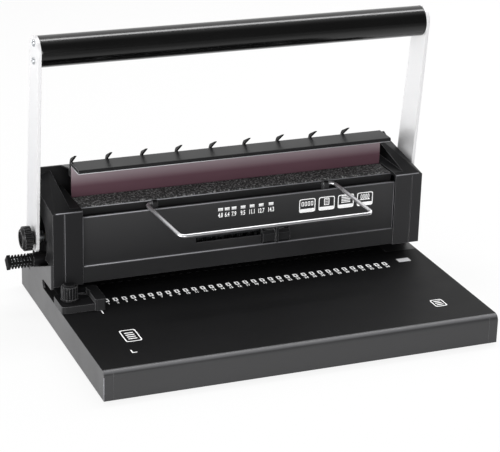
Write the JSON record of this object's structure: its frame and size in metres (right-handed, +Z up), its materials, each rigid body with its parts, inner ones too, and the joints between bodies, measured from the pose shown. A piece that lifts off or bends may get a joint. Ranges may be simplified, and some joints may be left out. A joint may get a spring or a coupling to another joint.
{
  "type": "wire binding machine",
  "caption": "Desk machine with a wide pull-down lever that punches a row of square holes in sheets on its deck and closes wire combs between a floor and a jaw.",
  "frame": {"origin": "centre of the base's footprint, on the table that the feet stand on", "axes": "+X to the right along the handle, +Y to the back, +Z up"},
  "size_m": [0.4105, 0.264, 0.2685],
  "materials": {
    "black_shell": "satin black powder coat",
    "side_paint": "satin dark grey powder coat",
    "moulded_black": "fine moulded grain",
    "knob_black": "moulded, fluted",
    "cover_black": "satin black paint",
    "pad_black": "rough speckled pad",
    "foot_rubber": "moulded rubber",
    "jaw_maroon": "satin maroon lacquer",
    "bar_grey": "satin grey paint",
    "hook_black": "black oxide",
    "arm_silver": "pale silver lacquer",
    "tube_black": "gloss black enamel",
    "chrome_rod": "polished",
    "plain_steel": "ground",
    "bright_steel": "turned and hardened",
    "bush_brass": "turned"
  },
  "bodies": {
    "frame": {"base_shell": "black_shell", "bottom_plate": "side_paint", "rubber_feet": "foot_rubber", "side_frame_left": "side_paint", "side_frame_right": "side_paint", "column_plate_left": "plain_steel", "column_plate_right": "plain_steel", "shaft_bushes": "bush_brass", "rear_tie_bar": "plain_steel", "upper_tie_bar": "plain_steel", "die_plate": "plain_steel", "pin_guide_plate": "plain_steel", "front_cover": "cover_black", "rear_cover": "black_shell", "end_cap_left": "moulded_black", "end_cap_right": "moulded_black", "closer_bed": "black_shell", "bed_pad": "pad_black", "hook_rail": "black_shell", "wire_hooks": "hook_black", "rest_brackets": "moulded_black", "margin_collar": "moulded_black", "cover_screws": "bright_steel"},
    "lever": {"main_shaft": "bright_steel", "punch_gears": "bright_steel", "jaw_gears": "bright_steel", "lever_arm_left": "arm_silver", "lever_arm_right": "arm_silver", "handle_tube": "tube_black", "handle_plugs": "moulded_black", "handle_screws": "bright_steel"},
    "clamp_knob_left": {"clamp_knob_left": "knob_black"},
    "clamp_knob_right": {"clamp_knob_right": "knob_black"},
    "punch": {"punch_beam": "plain_steel", "punch_pins": "bright_steel", "punch_racks": "plain_steel", "return_springs": "bright_steel"},
    "closer_jaw": {"jaw_plate": "jaw_maroon", "jaw_bar": "bar_grey", "jaw_racks": "plain_steel"},
    "size_selector": {"size_slider": "moulded_black", "size_stop": "plain_steel"},
    "document_rest": {"document_rest": "chrome_rod"},
    "edge_guide": {"edge_guide": "moulded_black", "guide_clamp_plate": "plain_steel"},
    "guide_lock_knob": {"guide_lock_knob": "knob_black"},
    "margin_stop": {"margin_rod": "bright_steel", "margin_grip": "moulded_black", "margin_fingers": "bright_steel"},
    "chip_tray": {"chip_tray": "moulded_black"}
  },
  "joints": [
    {"name": "lever_swing", "type": "hinge", "parent": "frame", "child": "lever", "pos_m": [0, 0.071, 0.0735], "axis": [1, 0, 0], "range_deg": [0, 78], "stiffness_Nm_per_rad": 1.3, "springref_deg": -28.65},
    {"name": "punch_stroke", "type": "slide", "parent": "frame", "child": "punch", "axis": [0, 0, -1], "range_m": [0, 0.01737], "deforming": ["return_springs"]},
    {"name": "jaw_stroke", "type": "slide", "parent": "frame", "child": "closer_jaw", "axis": [0, 0, -1], "range_m": [0, 0.02451]},
    {"name": "clamp_turn_left", "type": "hinge", "parent": "lever", "child": "clamp_knob_left", "pos_m": [0, 0.071, 0.0735], "axis": [1, 0, 0], "continuous": true},
    {"name": "clamp_turn_right", "type": "hinge", "parent": "lever", "child": "clamp_knob_right", "pos_m": [0, 0.071, 0.0735], "axis": [1, 0, 0], "continuous": true},
    {"name": "size_slide", "type": "slide", "parent": "frame", "child": "size_selector", "axis": [-1, 0, 0], "range_m": [0, 0.054]},
    {"name": "rest_swing", "type": "hinge", "parent": "frame", "child": "document_rest", "pos_m": [0, 0.036, 0.108], "axis": [1, 0, 0], "range_deg": [-80, 0]},
    {"name": "edge_slide", "type": "slide", "parent": "frame", "child": "edge_guide", "axis": [1, 0, 0], "range_m": [0, 0.012]},
    {"name": "lock_turn", "type": "hinge", "parent": "edge_guide", "child": "guide_lock_knob", "pos_m": [-0.175, 0.008, 0.036], "axis": [0, 0, 1], "continuous": true},
    {"name": "margin_turn", "type": "hinge", "parent": "frame", "child": "margin_stop", "pos_m": [0, 0.075, 0.05], "axis": [1, 0, 0], "range_deg": [-60, 0]},
    {"name": "tray_slide", "type": "slide", "parent": "frame", "child": "chip_tray", "axis": [1, 0, 0], "range_m": [0, 0.3]}
  ],
  "couplings": [
    {"joint": "punch_stroke", "follows": "lever_swing", "m_per_rad": 0.01275},
    {"joint": "jaw_stroke", "follows": "lever_swing", "m_per_rad": 0.018}
  ]
}
